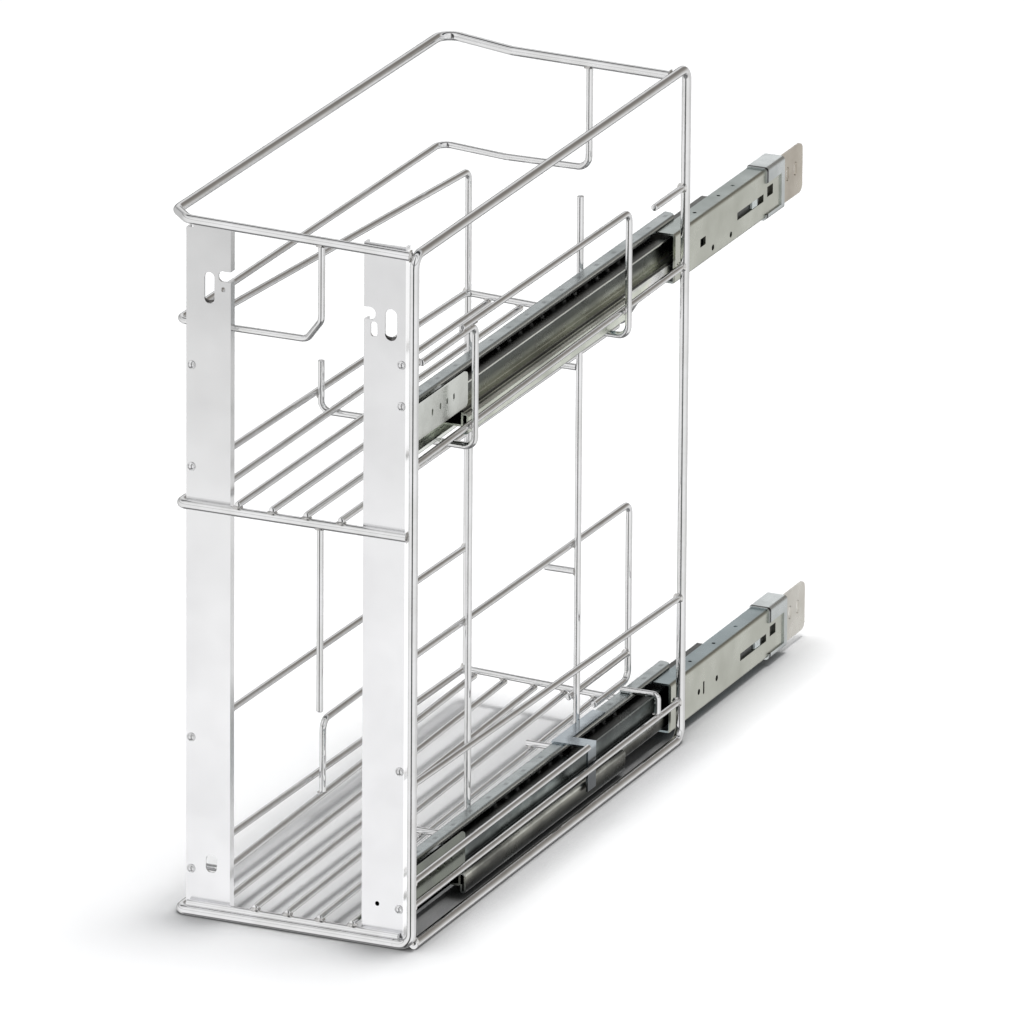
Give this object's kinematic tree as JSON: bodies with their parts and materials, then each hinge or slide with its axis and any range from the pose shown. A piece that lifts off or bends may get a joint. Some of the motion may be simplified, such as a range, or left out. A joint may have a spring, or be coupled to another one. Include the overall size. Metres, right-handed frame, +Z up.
{
  "type": "pull-out bottle rack",
  "caption": "Two-tier chromed wire pull-out rack for a narrow base cabinet, wire floors and guard rails, flat front strips, side-mounted on over-extension ball slides.",
  "frame": {"origin": "centre of the overall box in plan, at its lowest point, rack shown part way out of the cabinet", "axes": "+X to the side that carries the slides, +Y from the door side to the back of the cabinet, +Z up"},
  "size_m": [0.2084, 0.7565, 0.5409],
  "materials": {
    "chrome_wire": "bright chrome plating on drawn wire",
    "polished_strip": "chrome plating, satin, nearly white",
    "zinc_steel": "zinc-plated rolled sheet, greased",
    "zinc_plate": "yellowish zinc plating",
    "ball_steel": "hardened balls in a pressed retainer",
    "white_plastic": "natural white plastic"
  },
  "bodies": {
    "cabinet_side": {"upper_cabinet_rail": "zinc_steel", "lower_cabinet_rail": "zinc_steel", "upper_rear_clip": "zinc_steel", "lower_rear_clip": "zinc_steel", "upper_rear_plate": "zinc_plate", "lower_rear_plate": "zinc_plate", "upper_damper_catch": "white_plastic", "lower_damper_catch": "white_plastic"},
    "rack": {"bottom_front_wire": "chrome_wire", "cross_support": "chrome_wire", "divider_hoop": "chrome_wire", "front_hoop": "chrome_wire", "front_stop_wire": "chrome_wire", "guard_link": "chrome_wire", "hanger_front": "chrome_wire", "hanger_peg": "chrome_wire", "hanger_rear": "chrome_wire", "inner_guard": "chrome_wire", "keeper_wire": "chrome_wire", "left_strip": "polished_strip", "low_rail_long": "chrome_wire", "low_rail_short": "chrome_wire", "lower_channel": "zinc_steel", "lower_floor_edge": "chrome_wire", "lower_front_bracket": "zinc_steel", "lower_front_wire": "chrome_wire", "lower_guard_rail": "chrome_wire", "lower_left_rail": "chrome_wire", "lower_middle_bracket": "zinc_steel", "lower_rear_tie": "chrome_wire", "lower_rod_1": "chrome_wire", "lower_rod_2": "chrome_wire", "lower_rod_3": "chrome_wire", "lower_rod_4": "chrome_wire", "lower_rod_5": "chrome_wire", "lower_rod_6": "chrome_wire", "post_stub": "chrome_wire", "rear_hoop": "chrome_wire", "right_side_frame": "chrome_wire", "right_strip": "polished_strip", "rod_ties": "chrome_wire", "shelf_front_wire": "chrome_wire", "strip_buttons": "polished_strip", "top_wire": "chrome_wire", "under_slide_rail": "chrome_wire", "upper_channel": "zinc_steel", "upper_front_bracket": "zinc_steel", "upper_left_guard": "chrome_wire", "upper_rod_1": "chrome_wire", "upper_rod_2": "chrome_wire", "upper_rod_3": "chrome_wire", "upper_rod_4": "chrome_wire", "upper_rod_5": "chrome_wire", "upper_shelf_edge": "chrome_wire"},
    "upper_middle": {"upper_middle_member": "zinc_steel"},
    "lower_middle": {"lower_middle_member": "zinc_steel"},
    "upper_inner_balls": {"upper_inner_ball_train": "ball_steel"},
    "lower_inner_balls": {"lower_inner_ball_train": "ball_steel"},
    "upper_outer_balls": {"upper_outer_ball_train": "ball_steel"},
    "lower_outer_balls": {"lower_outer_ball_train": "ball_steel"}
  },
  "joints": [
    {"name": "pull_out", "type": "slide", "parent": "cabinet_side", "child": "rack", "axis": [0, -1, 0], "range_m": [-0.168, 0.11]},
    {"name": "upper_middle_travel", "type": "slide", "parent": "cabinet_side", "child": "upper_middle", "axis": [0, -1, 0], "range_m": [-0.084, 0.055]},
    {"name": "lower_middle_travel", "type": "slide", "parent": "cabinet_side", "child": "lower_middle", "axis": [0, -1, 0], "range_m": [-0.084, 0.055]},
    {"name": "upper_inner_balls_travel", "type": "slide", "parent": "cabinet_side", "child": "upper_inner_balls", "axis": [0, -1, 0], "range_m": [-0.042, 0.0275]},
    {"name": "lower_inner_balls_travel", "type": "slide", "parent": "cabinet_side", "child": "lower_inner_balls", "axis": [0, -1, 0], "range_m": [-0.042, 0.0275]},
    {"name": "upper_outer_balls_travel", "type": "slide", "parent": "cabinet_side", "child": "upper_outer_balls", "axis": [0, -1, 0], "range_m": [-0.126, 0.0825]},
    {"name": "lower_outer_balls_travel", "type": "slide", "parent": "cabinet_side", "child": "lower_outer_balls", "axis": [0, -1, 0], "range_m": [-0.126, 0.0825]}
  ],
  "couplings": [
    {"joint": "upper_middle_travel", "follows": "pull_out", "ratio": 0.5},
    {"joint": "lower_middle_travel", "follows": "pull_out", "ratio": 0.5},
    {"joint": "upper_inner_balls_travel", "follows": "pull_out", "ratio": 0.25},
    {"joint": "lower_inner_balls_travel", "follows": "pull_out", "ratio": 0.25},
    {"joint": "upper_outer_balls_travel", "follows": "pull_out", "ratio": 0.75},
    {"joint": "lower_outer_balls_travel", "follows": "pull_out", "ratio": 0.75}
  ]
}
